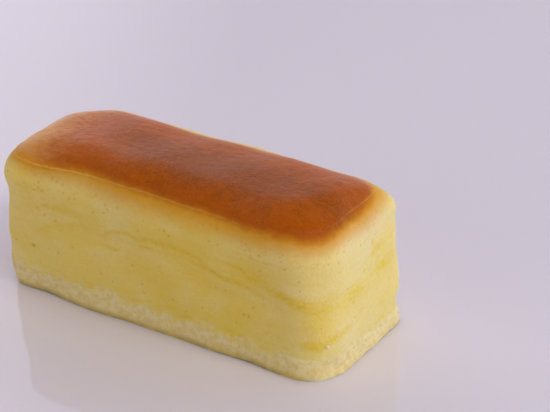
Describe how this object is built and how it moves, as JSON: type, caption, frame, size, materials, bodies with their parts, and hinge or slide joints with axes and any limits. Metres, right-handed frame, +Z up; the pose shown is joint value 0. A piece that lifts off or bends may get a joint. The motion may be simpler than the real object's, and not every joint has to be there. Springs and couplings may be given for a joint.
{
  "type": "cheesecake bar",
  "caption": "Oblong soft-baked cheesecake bar with a crowned, browned top and a thin pale sponge layer underneath; stands flat on its base.",
  "frame": {"origin": "centre of the footprint, on the surface that the bar stands on", "axes": "+X along the bar, +Y across it towards the back, +Z up through the browned top"},
  "size_m": [0.1002, 0.04, 0.0425],
  "materials": {
    "cheesecake": "soft pale yellow baked cheesecake with a satin, browned top skin",
    "sponge": "matt, pale, fine-crumbed sponge"
  },
  "bodies": {
    "root": {"cheesecake_body": "cheesecake", "sponge_base": "sponge"}
  },
  "joints": []
}
